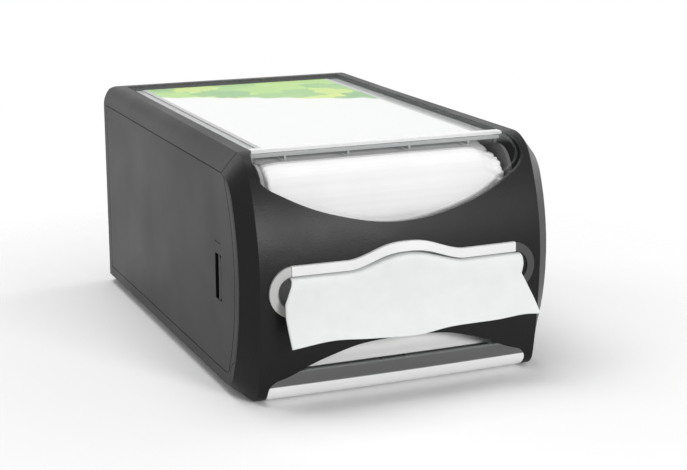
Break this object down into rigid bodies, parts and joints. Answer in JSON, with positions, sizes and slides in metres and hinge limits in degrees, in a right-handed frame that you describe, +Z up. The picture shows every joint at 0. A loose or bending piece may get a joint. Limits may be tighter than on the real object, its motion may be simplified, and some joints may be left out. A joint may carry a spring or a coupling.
{
  "type": "countertop napkin dispenser",
  "caption": "Low, long countertop napkin dispenser with a curved drop-down front, a wide oval mouth, clear windows and a printed card under a clear top cover.",
  "frame": {"origin": "on the counter under the middle of the whole width and depth, with the hanging napkin", "axes": "+X to the right of a person facing the front, +Y from the front to the back, +Z up"},
  "size_m": [0.2, 0.32, 0.1445],
  "materials": {
    "shell": "black moulded plastic, semi-gloss",
    "clear": "clear moulded plastic",
    "tray": "clear plastic with ribs underneath",
    "ring": "light grey moulded plastic",
    "lip": "white plastic",
    "card": "printed card",
    "rubber": "soft black rubber",
    "steel": "plain steel",
    "inner": "matt black plastic",
    "button": "black plastic",
    "drum": "grey plastic drum",
    "napkin": "white tissue"
  },
  "bodies": {
    "housing": {"back_panel": "shell", "back_screws": "steel", "band_anchor": "shell", "base_pan": "shell", "base_screws": "steel", "card_tray": "tray", "display_card": "card", "foot_front_left": "rubber", "foot_front_right": "rubber", "foot_rear_left": "rubber", "foot_rear_right": "rubber", "guide_rail_left": "inner", "guide_rail_right": "inner", "latch_spring_left": "steel", "latch_spring_right": "steel", "left_side_panel": "shell", "liner_left": "shell", "liner_right": "shell", "magazine_floor": "shell", "napkin_stack": "napkin", "right_side_panel": "shell", "spring_band": "steel"},
    "front_cover": {"front_frame": "shell", "front_window": "clear", "lower_window": "clear", "mouth_ring": "ring", "lip_strip": "lip", "slot_guide": "shell", "catch_left": "inner", "catch_right": "inner", "hinge_pin_left": "steel", "hinge_pin_right": "steel", "served_napkin": "napkin"},
    "top_lid": {"top_clear_cover": "clear"},
    "left_button": {"latch_button_left": "button"},
    "right_button": {"latch_button_right": "button"},
    "pusher": {"pusher_plate": "inner", "pusher_carriage": "inner", "plate_screws": "steel", "drum_axle": "steel"},
    "drum": {"spring_drum": "drum"}
  },
  "joints": [
    {"name": "cover_hinge", "type": "hinge", "parent": "housing", "child": "front_cover", "pos_m": [0, -0.1307, 0.0115], "axis": [1, 0, 0], "range_deg": [0, 78], "deforming": ["served_napkin"]},
    {"name": "top_lid_hinge", "type": "hinge", "parent": "housing", "child": "top_lid", "pos_m": [0, 0.1511, 0.143], "axis": [-1, 0, 0], "range_deg": [0, 70]},
    {"name": "left_button_press", "type": "slide", "parent": "housing", "child": "left_button", "axis": [1, 0, 0], "range_m": [0, 0.003], "stiffness_N_per_m": 400, "springref_m": -0.001, "deforming": ["latch_spring_left"]},
    {"name": "right_button_press", "type": "slide", "parent": "housing", "child": "right_button", "axis": [-1, 0, 0], "range_m": [0, 0.003], "stiffness_N_per_m": 400, "springref_m": -0.001, "deforming": ["latch_spring_right"]},
    {"name": "pusher_slide", "type": "slide", "parent": "housing", "child": "pusher", "axis": [0, -1, 0], "range_m": [0, 0.225], "deforming": ["napkin_stack", "spring_band"]},
    {"name": "drum_spin", "type": "hinge", "parent": "pusher", "child": "drum", "pos_m": [0, 0.1335, 0.0275], "axis": [1, 0, 0], "range_deg": [0, 1120]}
  ],
  "couplings": [
    {"joint": "drum_spin", "follows": "pusher_slide", "rad_per_m": 86.207}
  ]
}
